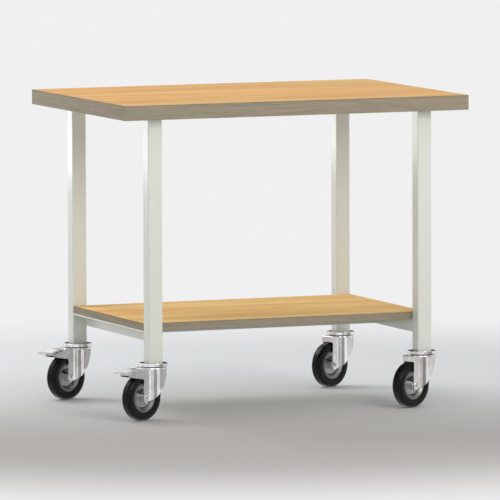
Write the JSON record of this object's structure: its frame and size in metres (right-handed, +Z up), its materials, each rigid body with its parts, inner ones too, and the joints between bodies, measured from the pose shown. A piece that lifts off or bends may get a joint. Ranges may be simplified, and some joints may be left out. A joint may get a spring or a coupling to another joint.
{
  "type": "assembly table",
  "caption": "Mobile assembly table: thick beech worktop on square-tube legs, a lower shelf on angle rails, and swivel casters, the pair at one end with foot brakes.",
  "frame": {"origin": "on the floor, at the middle of the whole table's box, brake pedals included; the table's own middle lies 13.2 mm towards +X", "axes": "+X along the worktop's long side towards the end without brakes, +Y from the front to the rear, +Z up"},
  "size_m": [1.0264, 0.7, 0.85],
  "materials": {
    "beech_ply": "clear-oiled beech multiplex, satin, grey-brown ply edges",
    "frame_paint": "light grey powder coat, satin",
    "zinc_sheet": "bright zinc-plated pressed steel",
    "rim_steel": "zinc-plated pressed steel, duller",
    "tyre_rubber": "black solid rubber, smooth",
    "fastener_steel": "zinc-plated fasteners",
    "bearing_steel": "ground bearing steel",
    "brake_rubber": "black rubber brake block"
  },
  "bodies": {
    "frame": {"kingpin_bolts": "fastener_steel", "kingpin_bushes": "bearing_steel", "leg_front_left": "frame_paint", "leg_front_right": "frame_paint", "leg_plugs": "frame_paint", "leg_rear_left": "frame_paint", "leg_rear_right": "frame_paint", "lower_shelf": "beech_ply", "shelf_cross_rail": "frame_paint", "shelf_rail_left": "frame_paint", "shelf_rail_right": "frame_paint", "shelf_screws": "fastener_steel", "swivel_head_front_left": "zinc_sheet", "swivel_head_front_right": "zinc_sheet", "swivel_head_rear_left": "zinc_sheet", "swivel_head_rear_right": "zinc_sheet", "top_bar_left": "frame_paint", "top_bar_right": "frame_paint", "worktop": "beech_ply", "worktop_screws": "fastener_steel"},
    "swivel_front_left": {"axle_bolt_front_left": "fastener_steel", "axle_sleeve_front_left": "bearing_steel", "bearing_balls_front_left": "bearing_steel", "fork_front_left": "zinc_sheet", "pivot_pin_front_left": "fastener_steel"},
    "wheel_front_left": {"tyre_front_left": "tyre_rubber", "wheel_bearing_front_left": "bearing_steel", "wheel_rim_front_left": "rim_steel"},
    "swivel_front_right": {"axle_bolt_front_right": "fastener_steel", "axle_sleeve_front_right": "bearing_steel", "bearing_balls_front_right": "bearing_steel", "fork_front_right": "zinc_sheet"},
    "wheel_front_right": {"tyre_front_right": "tyre_rubber", "wheel_bearing_front_right": "bearing_steel", "wheel_rim_front_right": "rim_steel"},
    "swivel_rear_left": {"axle_bolt_rear_left": "fastener_steel", "axle_sleeve_rear_left": "bearing_steel", "bearing_balls_rear_left": "bearing_steel", "fork_rear_left": "zinc_sheet", "pivot_pin_rear_left": "fastener_steel"},
    "wheel_rear_left": {"tyre_rear_left": "tyre_rubber", "wheel_bearing_rear_left": "bearing_steel", "wheel_rim_rear_left": "rim_steel"},
    "swivel_rear_right": {"axle_bolt_rear_right": "fastener_steel", "axle_sleeve_rear_right": "bearing_steel", "bearing_balls_rear_right": "bearing_steel", "fork_rear_right": "zinc_sheet"},
    "wheel_rear_right": {"tyre_rear_right": "tyre_rubber", "wheel_bearing_rear_right": "bearing_steel", "wheel_rim_rear_right": "rim_steel"},
    "pedal_front_left": {"brake_pedal_front_left": "zinc_sheet", "brake_shoe_front_left": "brake_rubber"},
    "pedal_rear_left": {"brake_pedal_rear_left": "zinc_sheet", "brake_shoe_rear_left": "brake_rubber"}
  },
  "joints": [
    {"name": "swivel_front_left", "type": "hinge", "parent": "frame", "child": "swivel_front_left", "pos_m": [-0.37978, -0.276, 0.15], "axis": [0, 0, 1], "continuous": true},
    {"name": "swivel_front_right", "type": "hinge", "parent": "frame", "child": "swivel_front_right", "pos_m": [0.40622, -0.276, 0.15], "axis": [0, 0, 1], "continuous": true},
    {"name": "swivel_rear_left", "type": "hinge", "parent": "frame", "child": "swivel_rear_left", "pos_m": [-0.37978, 0.288, 0.15], "axis": [0, 0, 1], "continuous": true},
    {"name": "swivel_rear_right", "type": "hinge", "parent": "frame", "child": "swivel_rear_right", "pos_m": [0.40622, 0.288, 0.15], "axis": [0, 0, 1], "continuous": true},
    {"name": "wheel_spin_front_left", "type": "hinge", "parent": "swivel_front_left", "child": "wheel_front_left", "pos_m": [-0.42136, -0.29322, 0.0625], "axis": [0.3827, -0.9239, 0], "continuous": true},
    {"name": "wheel_spin_front_right", "type": "hinge", "parent": "swivel_front_right", "child": "wheel_front_right", "pos_m": [0.36511, -0.2943, 0.0625], "axis": [0.4067, -0.9135, 0], "continuous": true},
    {"name": "wheel_spin_rear_left", "type": "hinge", "parent": "swivel_rear_left", "child": "wheel_rear_left", "pos_m": [-0.42136, 0.27078, 0.0625], "axis": [0.3827, -0.9239, 0], "continuous": true},
    {"name": "wheel_spin_rear_right", "type": "hinge", "parent": "swivel_rear_right", "child": "wheel_rear_right", "pos_m": [0.36511, 0.2697, 0.0625], "axis": [0.4067, -0.9135, 0], "continuous": true},
    {"name": "pedal_front_left", "type": "hinge", "parent": "swivel_front_left", "child": "pedal_front_left", "pos_m": [-0.43891, -0.30049, 0.131], "axis": [0.3827, -0.9239, 0], "range_deg": [0, 10]},
    {"name": "pedal_rear_left", "type": "hinge", "parent": "swivel_rear_left", "child": "pedal_rear_left", "pos_m": [-0.43891, 0.26351, 0.131], "axis": [0.3827, -0.9239, 0], "range_deg": [0, 10]}
  ]
}
